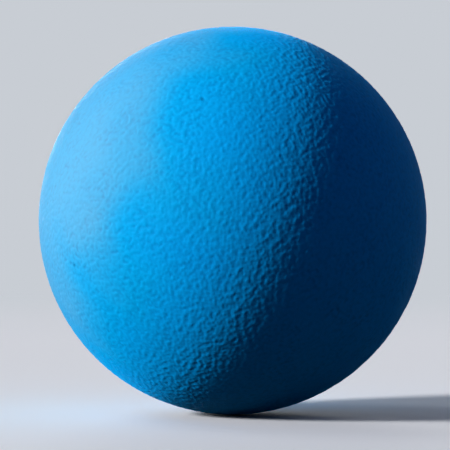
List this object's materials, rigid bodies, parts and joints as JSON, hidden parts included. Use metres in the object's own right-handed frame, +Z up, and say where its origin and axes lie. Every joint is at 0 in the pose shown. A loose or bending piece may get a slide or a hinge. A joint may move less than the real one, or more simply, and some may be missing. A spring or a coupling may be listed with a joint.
{
  "type": "racquetball",
  "caption": "Hollow blue rubber court ball with a finely pebbled matt skin, made of half shells cemented at an equatorial seam.",
  "frame": {"origin": "centre of the ball", "axes": "+Y along the moulding axis, square to the seam and towards the rear half shell's crown; +Z up in the picture; the seam is a ring in the XZ plane"},
  "size_m": [0.0572, 0.0572, 0.0572],
  "materials": {
    "blue_rubber": "matt ground rubber with a fine raised pebble grain",
    "dried_cement": "dried rubber cement, a shade darker than the shells"
  },
  "bodies": {
    "root": {"front_half_shell": "blue_rubber", "rear_half_shell": "blue_rubber", "seam_cement": "dried_cement"}
  },
  "joints": []
}
